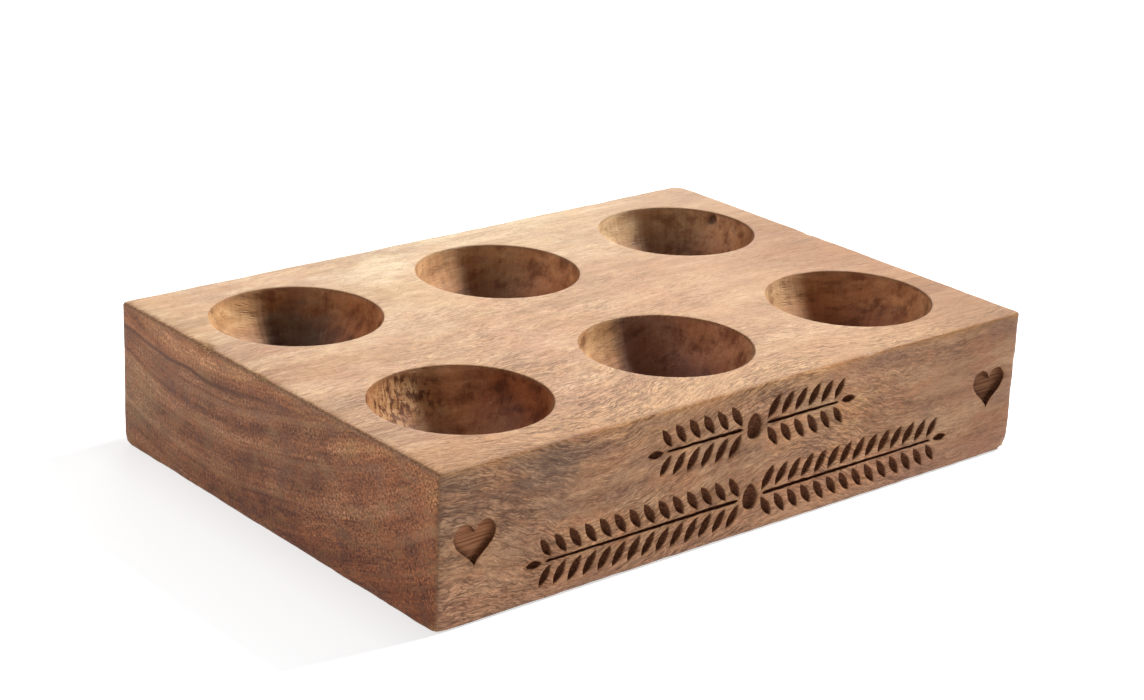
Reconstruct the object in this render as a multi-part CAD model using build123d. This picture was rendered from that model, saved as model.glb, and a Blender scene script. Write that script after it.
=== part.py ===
from build123d import *
import math
import os

# Egg tray: one block of solid hardwood, grain along X, with six round-bottomed
# hollows sunk into its top face in two rows of three. The long front face (-Y)
# carries shallow carving: a heart near each end, and between them two straight
# leaf sprays, one above the other. Millimetres, +Z up. The origin is the middle
# of the underside, so the block stands on Z = 0.

# block
LENGTH = 200.0          # X
WIDTH = 140.0           # Y
HEIGHT = 40.8           # Z
ARRIS_R = 1.0           # sanded round of every outer edge

# hollows: near-hemispherical, a hen's egg sits in each, blunt end down
HOLLOW_RIM_R = 23.0     # radius where the hollow meets the top face
HOLLOW_DEPTH = 22.0
HOLLOW_PITCH_X = 67.5   # three along the length
HOLLOW_PITCH_Y = 71.0   # two across the width
RIM_EASE_R = 0.4        # rim broken with abrasive

# carving in the front face: flat-bottomed pockets
HEART_WIDTH = 12.4
HEART_HEIGHT = 11.4
HEART_X = 89.1          # hearts mirror each other about X = 0
HEART_Z = 20.4
HEART_DEPTH = 1.7
LEAF_DEPTH = 1.4        # leaves, stems and ovals
LEAF_LENGTH = 7.3
LEAF_WIDTH = 2.7
LEAF_PITCH = 4.75       # from one pair of leaves to the next along the stem
LEAF_ANGLE = 56.0       # from the stem, degrees
LEAF_GAP = 1.0          # from the stem's centre line to the foot of a leaf
STEM_ROOT = 1.1         # stem width beside the middle oval
STEM_TIP = 0.7          # and at its far end
OVAL_W = 5.4            # upright egg-shaped oval at the middle of a spray
OVAL_H = 7.4
# (height of the spray's centre line, its half length)
SPRAYS = [(29.65, 36.2), (10.2, 73.6)]

FRONT = -WIDTH / 2


def on_front(u, v):
    """A point of the front face: u along X, v up."""
    return (u, FRONT, v)


def pocket(outline, depth):
    """The solid that is cut away below a closed outline drawn on the front face."""
    return extrude(make_face(outline), amount=depth, dir=(0, 1, 0))


def heart(cx, cz):
    """Two mirrored halves, each a smooth curve from the notch to the point."""
    halves = []
    for side in (1, -1):
        pts = []
        for i in range(15):
            t = math.pi * i / 14
            u = side * HEART_WIDTH / 32 * 16 * math.sin(t) ** 3
            v = HEART_HEIGHT / 28.93 * (
                13 * math.cos(t) - 5 * math.cos(2 * t) - 2 * math.cos(3 * t) - math.cos(4 * t) + 2.54
            )
            pts.append(on_front(cx + u, cz + v))
        halves.append(Spline(*pts))
    return pocket(halves, HEART_DEPTH)


def leaf(foot_u, foot_v, angle, length, width):
    """A pointed leaf between two equal arcs, from its foot out along the angle."""
    c, s = math.cos(math.radians(angle)), math.sin(math.radians(angle))
    tip = (foot_u + length * c, foot_v + length * s)
    mid = (foot_u + length / 2 * c, foot_v + length / 2 * s)
    h = width / 2
    left = (mid[0] - h * s, mid[1] + h * c)
    right = (mid[0] + h * s, mid[1] - h * c)
    arcs = [
        ThreePointArc(on_front(foot_u, foot_v), on_front(*left), on_front(*tip)),
        ThreePointArc(on_front(foot_u, foot_v), on_front(*right), on_front(*tip)),
    ]
    return pocket(arcs, LEAF_DEPTH)


def oval(cz):
    """Egg outline, blunt end down: a half circle below, a half ellipse above."""
    r = OVAL_W / 2
    low = cz - OVAL_H / 2 + r
    pts_top = []
    for i in range(9):
        a = math.pi * i / 8
        pts_top.append(on_front(r * math.cos(a), low + (OVAL_H - r) * math.sin(a)))
    return pocket(
        [
            Spline(*pts_top, tangents=[(0, 0, 1), (0, 0, -1)]),
            ThreePointArc(on_front(-r, low), on_front(0, low - r), on_front(r, low)),
        ],
        LEAF_DEPTH,
    )


def spray(cz, half):
    """Oval in the middle, and on each side a tapered stem with leaves in pairs."""
    cuts = [oval(cz)]
    start = OVAL_W / 2 + 1.3
    leaf_run = LEAF_LENGTH * math.cos(math.radians(LEAF_ANGLE))
    stem_end = half - LEAF_LENGTH * 0.82
    count = int((stem_end - leaf_run * 0.35 - start) / LEAF_PITCH) + 1
    for side in (1, -1):
        a, b = side * start, side * stem_end
        outline = Polyline(
            on_front(a, cz - STEM_ROOT / 2),
            on_front(b, cz - STEM_TIP / 2),
            on_front(b, cz + STEM_TIP / 2),
            on_front(a, cz + STEM_ROOT / 2),
            close=True,
        )
        cuts.append(pocket(outline, LEAF_DEPTH))
        for i in range(count):
            foot = stem_end - 0.6 - i * LEAF_PITCH - leaf_run * 0.35
            size = 0.84 + 0.16 * min(1.0, (i + 0.4) / 2)
            for up in (1, -1):
                angle = up * LEAF_ANGLE
                if side < 0:
                    angle = 180 - angle
                cuts.append(
                    leaf(side * foot, cz + up * LEAF_GAP, angle, LEAF_LENGTH * size, LEAF_WIDTH * size)
                )
        cuts.append(leaf(side * (stem_end + 0.7), cz, 0 if side > 0 else 180, LEAF_LENGTH * 0.72, LEAF_WIDTH * 0.84))
    return cuts


# the block, every outer edge rounded
block = Box(LENGTH, WIDTH, HEIGHT, align=(Align.CENTER, Align.CENTER, Align.MIN))
block = fillet(block.edges(), ARRIS_R)

# the hollows: each is a ball whose centre stands just above the top face
ball_r = (HOLLOW_RIM_R**2 + HOLLOW_DEPTH**2) / (2 * HOLLOW_DEPTH)
ball_z = HEIGHT - HOLLOW_DEPTH + ball_r
for ix in (-1, 0, 1):
    for iy in (-0.5, 0.5):
        block -= Pos(ix * HOLLOW_PITCH_X, iy * HOLLOW_PITCH_Y, ball_z) * Sphere(ball_r)
rims = [
    e
    for e in block.edges().filter_by(GeomType.CIRCLE)
    if abs(e.radius - HOLLOW_RIM_R) < 0.05 and abs(e.center().Z - HEIGHT) < 0.05
]
block = fillet(rims, RIM_EASE_R)

# the carving
carving = [heart(-HEART_X, HEART_Z), heart(HEART_X, HEART_Z)]
for centre, half_length in SPRAYS:
    carving += spray(centre, half_length)
block = block - carving
if hasattr(block, "solids"):
    block = block.solids()[0]

box = block.bounding_box()
print("pockets", len(carving), "rims", len(rims))
print("size", box.size, "volume", round(block.volume), "valid", block.is_valid)

os.makedirs("parts", exist_ok=True)
export_step(block, "parts/egg_tray_block.step")
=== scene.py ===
import math

import bpy
import numpy as np
from mathutils import Matrix, Vector
from mathutils.geometry import delaunay_2d_cdt


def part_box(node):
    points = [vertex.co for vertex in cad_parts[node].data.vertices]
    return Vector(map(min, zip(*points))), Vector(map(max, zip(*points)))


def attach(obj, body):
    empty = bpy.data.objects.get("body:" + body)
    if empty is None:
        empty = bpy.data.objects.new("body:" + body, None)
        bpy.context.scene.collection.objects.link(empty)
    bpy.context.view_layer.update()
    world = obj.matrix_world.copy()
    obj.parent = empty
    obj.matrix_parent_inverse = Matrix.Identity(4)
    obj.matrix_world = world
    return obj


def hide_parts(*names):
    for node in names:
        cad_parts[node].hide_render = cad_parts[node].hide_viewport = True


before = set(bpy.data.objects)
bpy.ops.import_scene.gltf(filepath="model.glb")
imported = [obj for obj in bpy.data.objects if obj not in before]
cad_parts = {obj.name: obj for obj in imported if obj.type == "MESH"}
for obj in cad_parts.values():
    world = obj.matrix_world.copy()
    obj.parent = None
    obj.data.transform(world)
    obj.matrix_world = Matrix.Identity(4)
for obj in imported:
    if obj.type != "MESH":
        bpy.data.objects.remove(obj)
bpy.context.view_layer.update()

# ---------------------------------------------------------------- dimensions
# Work is in millimetres until the mesh is made. The block comes from the frame.
_lo, _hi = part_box("egg_tray_block")
LENGTH, WIDTH, HEIGHT = [(_hi[i] - _lo[i]) * 1000 for i in range(3)]
HX, HY = LENGTH / 2, WIDTH / 2
ARRIS = 1.0
RIM_R, BOWL_DEPTH, RIM_EASE = 23.0, 22.0, 0.4
PITCH_X, PITCH_Y = 67.5, 71.0
BOWLS = [(ix * PITCH_X, iy * PITCH_Y) for iy in (-0.5, 0.5) for ix in (-1, 0, 1)]
HEART_W, HEART_H, HEART_X, HEART_Z, HEART_DEPTH = 12.4, 11.4, 89.1, 20.4, 1.7
LEAF_DEPTH, LEAF_L, LEAF_W, LEAF_PITCH, LEAF_ANGLE, LEAF_GAP = 1.4, 7.3, 2.7, 4.75, 56.0, 1.0
STEM_ROOT, STEM_TIP, OVAL_W, OVAL_H = 1.1, 0.7, 5.4, 7.4
SPRAYS = [(29.65, 36.2), (10.2, 73.6)]

rng = np.random.default_rng(20261119)

# ---------------------------------------------------------------- solid noise
_perm = rng.permutation(256)
_grad = rng.normal(size=(256, 3))
_grad /= np.linalg.norm(_grad, axis=1)[:, None]


def noise(p):
    """Gradient noise at points p (n, 3), about -1 to 1."""
    i = np.floor(p).astype(np.int64)
    f = p - i
    u = f * f * f * (f * (f * 6 - 15) + 10)
    out = np.zeros(len(p))
    for dx in (0, 1):
        for dy in (0, 1):
            for dz in (0, 1):
                h = _perm[(i[:, 0] + dx) & 255]
                h = _perm[(h + i[:, 1] + dy) & 255]
                h = _perm[(h + i[:, 2] + dz) & 255]
                w = (
                    (u[:, 0] if dx else 1 - u[:, 0])
                    * (u[:, 1] if dy else 1 - u[:, 1])
                    * (u[:, 2] if dz else 1 - u[:, 2])
                )
                out += w * ((f - (dx, dy, dz)) * _grad[h]).sum(1)
    return out * 1.7


def fbm(p, octaves=3, gain=0.5):
    total, amp, norm = 0.0, 1.0, 0.0
    for k in range(octaves):
        total = total + amp * noise(p * 2.03**k + 17.3 * k)
        norm += amp
        amp *= gain
    return total / norm


def smooth(a, b, x):
    t = np.clip((x - a) / (b - a), 0, 1)
    return t * t * (3 - 2 * t)


# ---------------------------------------------------------------- mesh store
# Every part adds base points, outward normals and marks; equal points are welded.
REGION = {"face": 0, "arris": 1, "bowl": 2, "pocket": 3, "heart": 4}
store = {k: [] for k in ("pos", "nor", "region", "cut", "floor", "bowl", "bid")}
faces = []
count = 0


def add(pos, nor, tris, region="face", cut=0.0, floor=0.0, bowl=0.0, bid=-1):
    """Adds points and faces (index lists within the points)."""
    global count
    n = len(pos)
    store["pos"].append(np.asarray(pos, float))
    nor = np.asarray(nor, float)
    store["nor"].append(np.broadcast_to(nor, (n, 3)) if nor.ndim == 1 else nor)
    for key, val in (("region", REGION[region]), ("cut", cut), ("floor", floor), ("bowl", bowl), ("bid", bid)):
        store[key].append(np.broadcast_to(np.asarray(val, float), (n,)))
    faces.extend([tuple(count + k for k in f) for f in tris])
    count += n


def steps(a, b, h):
    return np.linspace(a, b, max(2, int(round((b - a) / h)) + 1))


H_STEP = 1.25
XS = steps(-HX + ARRIS, HX - ARRIS, H_STEP)
YS = steps(-HY + ARRIS, HY - ARRIS, H_STEP)
ZS = steps(ARRIS, HEIGHT - ARRIS, H_STEP)
NA = 5


def rect_loop(us, vs):
    pts = [(u, vs[0]) for u in us] + [(us[-1], v) for v in vs[1:]]
    pts += [(u, vs[-1]) for u in us[::-1][1:]] + [(us[0], v) for v in vs[::-1][1:-1]]
    return np.array(pts)


def inside(poly, pts):
    """Even-odd test of pts against a closed polygon."""
    x, y = pts[:, 0], pts[:, 1]
    r = np.zeros(len(pts), bool)
    ax, ay = poly[:, 0], poly[:, 1]
    bx, by = np.roll(ax, -1), np.roll(ay, -1)
    for k in range(len(poly)):
        c = (ay[k] > y) != (by[k] > y)
        with np.errstate(divide="ignore", invalid="ignore"):
            r ^= c & (x < (bx[k] - ax[k]) * (y - ay[k]) / (by[k] - ay[k]) + ax[k])
    return r


def hexgrid(u0, u1, v0, v1, h, jitter=0.12):
    dv = h * 0.866
    out = []
    for j, v in enumerate(np.arange(v0 + dv * 0.6, v1 - dv * 0.4, dv)):
        us = np.arange(u0 + h * (0.5 if j % 2 else 0.9), u1 - h * 0.35, h)
        out.append(np.stack([us, np.full(len(us), v)], 1))
    pts = np.concatenate(out)
    return pts + rng.uniform(-jitter * h, jitter * h, pts.shape)


def flat(us, vs, holes, h, keep, to3d, normal, near=None, **marks):
    """A flat face: its outline, loops left open, and loose points between."""
    outline = rect_loop(us, vs)
    loops = [outline] + holes
    pts = hexgrid(us[0], us[-1], vs[0], vs[-1], h)
    if near is not None:
        extra = near()
        pts = np.concatenate([pts, extra]) if len(extra) else pts
    ok = np.ones(len(pts), bool)
    for k, loop in enumerate(loops):
        lo, hi = loop.min(0) - keep, loop.max(0) + keep
        if k == 0:
            edge = np.minimum.reduce(
                [pts[:, 0] - us[0], us[-1] - pts[:, 0], pts[:, 1] - vs[0], vs[-1] - pts[:, 1]]
            )
            ok &= edge > H_STEP * 0.45
            continue
        m = np.where((pts > lo).all(1) & (pts < hi).all(1) & ok)[0]
        if not len(m):
            continue
        q = pts[m]
        d = np.full(len(q), 1e9)
        for a, b in zip(loop, np.roll(loop, -1, 0)):
            e = b - a
            t = np.clip(((q - a) @ e) / (e @ e), 0, 1)
            d = np.minimum(d, np.linalg.norm(q - a - t[:, None] * e, axis=1))
        ok[m[(d < keep) | inside(loop, q)]] = False
    pts = pts[ok]
    verts, edges, owner = [], [], []
    for k, loop in enumerate(loops):
        s = len(verts)
        verts += [tuple(p) for p in loop]
        owner += [k] * len(loop)
        edges += [(s + i, s + (i + 1) % len(loop)) for i in range(len(loop))]
    verts += [tuple(p) for p in pts]
    owner += [-1] * len(pts)
    ov, _, of_, orig, _, _ = delaunay_2d_cdt([Vector(v) for v in verts], edges, [], 1, 1e-7)
    own = np.array([owner[o[0]] if o else -1 for o in orig])
    V = np.array([tuple(v) for v in ov])
    T = [f for f in of_]
    if holes:
        tri = np.array([list(f)[:3] for f in T])
        k = own[tri]
        same = (k[:, 0] > 0) & (k[:, 0] == k[:, 1]) & (k[:, 1] == k[:, 2])
        drop = np.zeros(len(T), bool)
        cen = V[tri].mean(1)
        for i in np.unique(k[same, 0]):
            m = np.where(same & (k[:, 0] == i))[0]
            drop[m] = inside(loops[i], cen[m])
        T = [t for t, d in zip(T, drop) if not d]
    add(to3d(V), normal, T, **marks)


# ---------------------------------------------------------------- the hollows
BALL_R = (RIM_R**2 + BOWL_DEPTH**2) / (2 * BOWL_DEPTH)
BALL_Z = HEIGHT - BOWL_DEPTH + BALL_R
N_ROUND, N_RINGS = 144, 38
_dz = BALL_Z - (HEIGHT - RIM_EASE)
EASE_RHO = math.sqrt((BALL_R + RIM_EASE) ** 2 - _dz**2)


def bowl_profile():
    """Radius, height and normal from the top face, over the eased rim, to the bottom."""
    out = []
    a_end = math.atan2(_dz, -EASE_RHO)  # towards the ball's centre
    n = 4
    for i in range(n + 1):
        a = math.pi / 2 + (a_end - math.pi / 2) * i / n
        out.append(
            (EASE_RHO + RIM_EASE * math.cos(a), HEIGHT - RIM_EASE + RIM_EASE * math.sin(a), math.cos(a), math.sin(a))
        )
    phi0 = math.atan2(out[-1][0], BALL_Z - out[-1][1])
    for i in range(1, N_RINGS + 1):
        phi = phi0 * (1 - i / N_RINGS)
        out.append((BALL_R * math.sin(phi), BALL_Z - BALL_R * math.cos(phi), -math.sin(phi), math.cos(phi)))
    return out


PROFILE = bowl_profile()
ROUND = np.arange(N_ROUND) / N_ROUND * 2 * math.pi


def make_bowl(b, cx, cy):
    pos, nor, dep = [], [], []
    for rho, z, nr, nz in PROFILE[:-1]:
        c, s = np.cos(ROUND), np.sin(ROUND)
        pos.append(np.stack([cx + rho * c, cy + rho * s, np.full(N_ROUND, z)], 1))
        nor.append(np.stack([nr * c, nr * s, np.full(N_ROUND, nz)], 1))
        dep.append(np.full(N_ROUND, np.clip((HEIGHT - z) / BOWL_DEPTH, 0, 1)))
    pos.append(np.array([[cx, cy, HEIGHT - BOWL_DEPTH]]))
    nor.append(np.array([[0, 0, 1.0]]))
    dep.append(np.array([1.0]))
    rows = len(PROFILE) - 1
    quads = []
    for r in range(rows - 1):
        for k in range(N_ROUND):
            k2 = (k + 1) % N_ROUND
            quads.append((r * N_ROUND + k, r * N_ROUND + k2, (r + 1) * N_ROUND + k2, (r + 1) * N_ROUND + k))
    tip = rows * N_ROUND
    for k in range(N_ROUND):
        quads.append(((rows - 1) * N_ROUND + k, (rows - 1) * N_ROUND + (k + 1) % N_ROUND, tip))
    add(np.concatenate(pos), np.concatenate(nor), quads, region="bowl", bowl=np.concatenate(dep), bid=b)


bowl_loops = []
for b, (cx, cy) in enumerate(BOWLS):
    make_bowl(b, cx, cy)
    bowl_loops.append(np.stack([cx + PROFILE[0][0] * np.cos(ROUND), cy + PROFILE[0][0] * np.sin(ROUND)], 1))


def near_rims():
    """A closer ring of points just outside each rim."""
    out = []
    for cx, cy in BOWLS:
        for extra, n in ((0.95, 132), (1.95, 120)):
            a = (np.arange(n) + (0.5 if n == 132 else 0.1)) / n * 2 * math.pi
            r = PROFILE[0][0] + extra
            out.append(np.stack([cx + r * np.cos(a), cy + r * np.sin(a)], 1))
    return np.concatenate(out)


# ---------------------------------------------------------------- the carving
def blade(foot, angle, length, half_width, inset, n, shape):
    """A closed loop symmetric about a line: foot, one side, tip, the other side."""
    a = math.radians(angle)
    d, s = np.array([math.cos(a), math.sin(a)]), np.array([-math.sin(a), math.cos(a)])
    mid = np.array(foot) + d * length / 2
    h = half_width
    if shape == "leaf":
        R = (length**2 / 4 + h * h) / (2 * h)
        hl = math.sqrt(max((R - inset) ** 2 - (R - h) ** 2, 0.01))
        t = np.cos(np.linspace(math.pi, 0, n + 1)) * 0.35 + np.linspace(-1, 1, n + 1) * 0.65
        w = np.sqrt(np.maximum((R - inset) ** 2 - (t * hl) ** 2, 0)) - (R - h)
    elif shape == "oval":
        hl = length / 2 - inset
        t = np.cos(np.linspace(math.pi, 0, n + 1))
        w = (h - inset) * np.sqrt(np.maximum(1 - t**2, 0)) * (1 - 0.14 * t)
    else:
        hl = length / 2 - inset
        t = np.linspace(-1, 1, n + 1)
        w = np.interp(t, (-1, 1), half_width) - inset * 0.75
        ends = 1 - np.exp(-(1 - np.abs(t)) * hl / 0.28)
        w = w * np.clip(ends, 0, 1)
    w = np.maximum(w, 0)
    line = mid + d * (t * hl)[:, None]
    side = s * w[:, None]
    return np.concatenate([line[:1], line[1:-1] - side[1:-1], line[-1:], (line + side)[1:-1][::-1]])


def heart_loop(cx, inset, n=64):
    t = np.arange(n) / n * 2 * math.pi
    k = 1 - inset / 5.2
    u = HEART_W / 2 * np.sin(t) ** 3
    v = HEART_H / 28.93 * (13 * np.cos(t) - 5 * np.cos(2 * t) - 2 * np.cos(3 * t) - np.cos(4 * t) + 2.54)
    # more even spacing along the outline
    d = np.r_[0, np.cumsum(np.hypot(np.diff(np.r_[u, u[0]]), np.diff(np.r_[v, v[0]])))]
    s = np.linspace(0, d[-1], n + 1)[:-1]
    u, v = np.interp(s, d, np.r_[u, u[0]]), np.interp(s, d, np.r_[v, v[0]])
    return np.stack([cx + k * u, HEART_Z + 0.5 + k * (v - 0.5)], 1)


def on_front(uv, depth=0.0):
    return np.stack([uv[:, 0], np.full(len(uv), -HY) + depth, uv[:, 1]], 1)


def wall_normals(loop):
    e = np.roll(loop, -1, 0) - np.roll(loop, 1, 0)
    n = np.stack([-e[:, 1], e[:, 0]], 1)
    n /= np.maximum(np.linalg.norm(n, axis=1), 1e-9)[:, None]
    return np.stack([n[:, 0], np.full(len(n), -0.5), n[:, 1]], 1)


front_holes = []


def carve_blade(foot, angle, length, half_width, shape, n, levels, mid_depth):
    """Levels are (inset, depth) from the face down; the floor joins side to side."""
    loops = [blade(foot, angle, length, half_width, e, n, shape) for e, _ in levels]
    front_holes.append(loops[0])
    m = len(loops[0])
    pos = np.concatenate([on_front(lp, d) for lp, (_, d) in zip(loops, levels)])
    nor = np.concatenate([wall_normals(lp) for lp in loops])
    nor[:m] = (0, -1, 0)
    cut = np.repeat([min(1.0, 0.15 + 1.1 * i / (len(levels) - 1)) for i in range(len(levels))], m)
    cut[:m] = 0.35
    quads = []
    for r in range(len(levels) - 1):
        for k in range(m):
            k2 = (k + 1) % m
            quads.append((r * m + k, r * m + k2, (r + 1) * m + k2, (r + 1) * m + k))
    base = (len(levels) - 1) * m
    # a middle line along the floor
    last = loops[-1]
    mid = np.array([(last[i] + last[(m - i) % m]) / 2 for i in range(1, n)])
    pos = np.concatenate([pos, on_front(mid, mid_depth)])
    nor = np.concatenate([nor, np.tile((0, -1.0, 0), (len(mid), 1))])
    cut = np.concatenate([cut, np.ones(len(mid))])
    M = len(levels) * m
    right = [base + i for i in range(n + 1)]
    left = [base + (m - i) % m for i in range(n + 1)]
    centre = [right[0]] + [M + i for i in range(n - 1)] + [right[n]]
    for i in range(n):
        for side in (right, left):
            f = [side[i], side[i + 1], centre[i + 1], centre[i]]
            f = [v for j, v in enumerate(f) if v not in f[:j]]
            if len(f) >= 3:
                quads.append(tuple(f))
    add(pos, nor, quads, region="pocket", cut=cut)


def carve_heart(cx):
    levels = [(-0.12, 0.0), (0.04, 0.13), (0.12, 0.9), (0.22, 1.45), (0.45, HEART_DEPTH - 0.02)]
    loops = [heart_loop(cx, e) for e, _ in levels]
    front_holes.append(loops[0])
    m = len(loops[0])
    pos = np.concatenate([on_front(lp, d) for lp, (_, d) in zip(loops, levels)])
    nor = np.concatenate([wall_normals(lp) for lp in loops])
    nor[:m] = (0, -1, 0)
    cut = np.repeat([0.35, 0.7, 1.0, 1.0, 0.95], m)
    quads = []
    for r in range(len(levels) - 1):
        for k in range(m):
            k2 = (k + 1) % m
            quads.append((r * m + k, r * m + k2, (r + 1) * m + k2, (r + 1) * m + k))
    add(pos, nor, quads, region="heart", cut=cut, floor=np.repeat([0.0, 0.1, 0.45, 0.6, 0.7], m))
    last = loops[-1]
    pts = hexgrid(last[:, 0].min(), last[:, 0].max(), last[:, 1].min(), last[:, 1].max(), 0.62)
    d = np.full(len(pts), 1e9)
    for a, b in zip(last, np.roll(last, -1, 0)):
        e = b - a
        t = np.clip(((pts - a) @ e) / (e @ e), 0, 1)
        d = np.minimum(d, np.linalg.norm(pts - a - t[:, None] * e, axis=1))
    ok = inside(last, pts) & (d > 0.3)
    pts, d = pts[ok], d[ok]
    verts = np.concatenate([last, pts])
    edges = [(i, (i + 1) % m) for i in range(m)]
    ov, _, tris, orig, _, _ = delaunay_2d_cdt([Vector(v) for v in verts], edges, [], 1, 1e-7)
    V = np.array([tuple(v) for v in ov])
    dist = np.r_[np.zeros(m), d]
    fl = np.array([dist[o[0]] if o else 0 for o in orig])
    add(
        on_front(V, HEART_DEPTH - 0.02), (0, -1, 0), [f for f in tris], region="heart",
        cut=np.full(len(V), 0.95), floor=0.7 + 0.3 * smooth(0.0, 1.4, fl),
    )


def leaf_levels(hw):
    return [(-0.10, 0.0), (0.05, 0.14), (min(0.36, hw * 0.3), 0.72), (min(0.78, hw * 0.62), 1.16)]


for cz, half in SPRAYS:
    carve_blade((0, cz - OVAL_H / 2), 90, OVAL_H, OVAL_W / 2, "oval", 13,
                [(-0.10, 0.0), (0.05, 0.14), (0.35, 0.8), (0.9, 1.25), (1.5, 1.36)], 1.4)
    start = OVAL_W / 2 + 1.3
    run = LEAF_L * math.cos(math.radians(LEAF_ANGLE))
    stem_end = half - LEAF_L * 0.82
    pairs = int((stem_end - run * 0.35 - start) / LEAF_PITCH) + 1
    for side in (1, -1):
        ang = 0 if side > 0 else 180
        n = int((stem_end - start) / 1.1)
        carve_blade((side * start, cz), ang, stem_end - start, (STEM_ROOT / 2, STEM_TIP / 2), "stem", n,
                    [(-0.07, 0.0), (0.04, 0.12), (0.16, 0.7), (0.26, 1.0)], 1.05)
        for i in range(pairs):
            foot = stem_end - 0.6 - i * LEAF_PITCH - run * 0.35
            size = 0.84 + 0.16 * min(1.0, (i + 0.4) / 2)
            for up in (1, -1):
                a = up * LEAF_ANGLE
                if side < 0:
                    a = 180 - a
                hw = LEAF_W * size / 2
                carve_blade((side * foot, cz + up * LEAF_GAP), a, LEAF_L * size, hw, "leaf", 10,
                            leaf_levels(hw), 1.36)
        hw = LEAF_W * 0.42
        carve_blade((side * (stem_end + 0.7), cz), ang, LEAF_L * 0.72, hw, "leaf", 9, leaf_levels(hw), 1.3)
carve_heart(-HEART_X)
carve_heart(HEART_X)

# ---------------------------------------------------------------- the outer faces
flat(XS, YS, bowl_loops, 1.3, 0.62, lambda v: np.stack([v[:, 0], v[:, 1], np.full(len(v), HEIGHT)], 1),
     (0, 0, 1), near=near_rims)
flat(XS, ZS, front_holes, 1.12, 0.42, on_front, (0, -1, 0))
flat(XS, YS, [], 2.9, 0, lambda v: np.stack([v[:, 0], v[:, 1], np.zeros(len(v))], 1), (0, 0, -1))
flat(XS, ZS, [], 1.9, 0, lambda v: np.stack([v[:, 0], np.full(len(v), HY), v[:, 1]], 1), (0, 1, 0))
flat(YS, ZS, [], 1.3, 0, lambda v: np.stack([np.full(len(v), -HX), v[:, 0], v[:, 1]], 1), (-1, 0, 0))
flat(YS, ZS, [], 1.3, 0, lambda v: np.stack([np.full(len(v), HX), v[:, 0], v[:, 1]], 1), (1, 0, 0))

TH = np.arange(NA + 1) / NA * math.pi / 2


def strip(values, along, c1, c2, ax1, ax2):
    """A quarter round along an axis, about the line through (c1, c2)."""
    third = ({0, 1, 2} - {ax1, ax2}).pop()
    assert third == along
    n = len(values)
    pos, nor = np.zeros((n * (NA + 1), 3)), np.zeros((n * (NA + 1), 3))
    for k, t in enumerate(TH):
        sl = slice(k * n, (k + 1) * n)
        nor[sl, ax1] = math.cos(t) * np.sign(c1[1])
        nor[sl, ax2] = math.sin(t) * np.sign(c2[1])
        pos[sl, along] = values
        pos[sl, ax1] = c1[0] + ARRIS * nor[sl, ax1]
        pos[sl, ax2] = c2[0] + ARRIS * nor[sl, ax2]
    quads = [
        (k * n + i, k * n + i + 1, (k + 1) * n + i + 1, (k + 1) * n + i) for k in range(NA) for i in range(n - 1)
    ]
    add(pos, nor, quads, region="arris")


SX, SY = [(-HX + ARRIS, -1), (HX - ARRIS, 1)], [(-HY + ARRIS, -1), (HY - ARRIS, 1)]
SZ = [(ARRIS, -1), (HEIGHT - ARRIS, 1)]
for y in SY:
    for z in SZ:
        strip(XS, 0, y, z, 1, 2)
for x in SX:
    for z in SZ:
        strip(YS, 1, x, z, 0, 2)
    for y in SY:
        strip(ZS, 2, x, y, 0, 1)
for x in SX:
    for y in SY:
        for z in SZ:
            pos, nor, rows = [], [], []
            for i in range(NA + 1):
                row = []
                for j in range(i + 1):
                    az = (j / i if i else 0) * math.pi / 2
                    d = np.array([math.sin(TH[i]) * math.cos(az) * x[1], math.sin(TH[i]) * math.sin(az) * y[1],
                                  math.cos(TH[i]) * z[1]])
                    row.append(len(pos))
                    nor.append(d)
                    pos.append(np.array([x[0], y[0], z[0]]) + ARRIS * d)
                rows.append(row)
            tris = []
            for i in range(NA):
                for j in range(i + 1):
                    tris.append((rows[i][j], rows[i + 1][j], rows[i + 1][j + 1]))
                    if j < i:
                        tris.append((rows[i][j], rows[i + 1][j + 1], rows[i][j + 1]))
            add(pos, np.array(nor), tris, region="arris")

# ---------------------------------------------------------------- weld
S = {k: np.concatenate(v) for k, v in store.items()}


def cells_of(offset):
    key = np.floor(S["pos"] * 731.0 + offset).astype(np.int64)
    return np.unique(key, axis=0, return_inverse=True)[1].ravel()


# equal points can fall on the two sides of a rounding step, so three grids are joined
one = cells_of(0.4142)
low = np.arange(one.max() + 1)
for other in (cells_of(0.7475), cells_of(0.0808)) * 2:
    least = np.full(other.max() + 1, len(low))
    np.minimum.at(least, other, low[one])
    np.minimum.at(low, one, least[other])
_, first, inverse = np.unique(low[one], return_index=True, return_inverse=True)
inverse = inverse.ravel()
B = {k: v[first].copy() for k, v in S.items()}
for k in ("cut", "bowl", "region"):  # where parts meet, the higher mark holds
    np.maximum.at(B[k], inverse, S[k])
# a rim point keeps the face's normal and mark
polys = []
for f in faces:
    g = []
    for v in f:
        w = int(inverse[v])
        if w not in g:
            g.append(w)
    if len(g) >= 3:
        polys.append(g)
P, N = B["pos"], B["nor"]
N = N / np.maximum(np.linalg.norm(N, axis=1), 1e-9)[:, None]

# ---------------------------------------------------------------- hand wear and tool work
x, y, z = P.T
outer = B["region"] < 2
inner_bowl = (B["bowl"] > 0) & (B["region"] == 2)
depth = np.zeros(len(P))

# faces that were planed and sanded: shallow swells that run with the grain
swell = fbm(P / (34, 15, 15) + 3.1, 3)
ripple = fbm(P / (9, 3.6, 3.6) + 9.4, 2)
flat_d = 0.055 * (0.5 + 0.5 * swell) + 0.022 * (0.5 + 0.5 * ripple)

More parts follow.
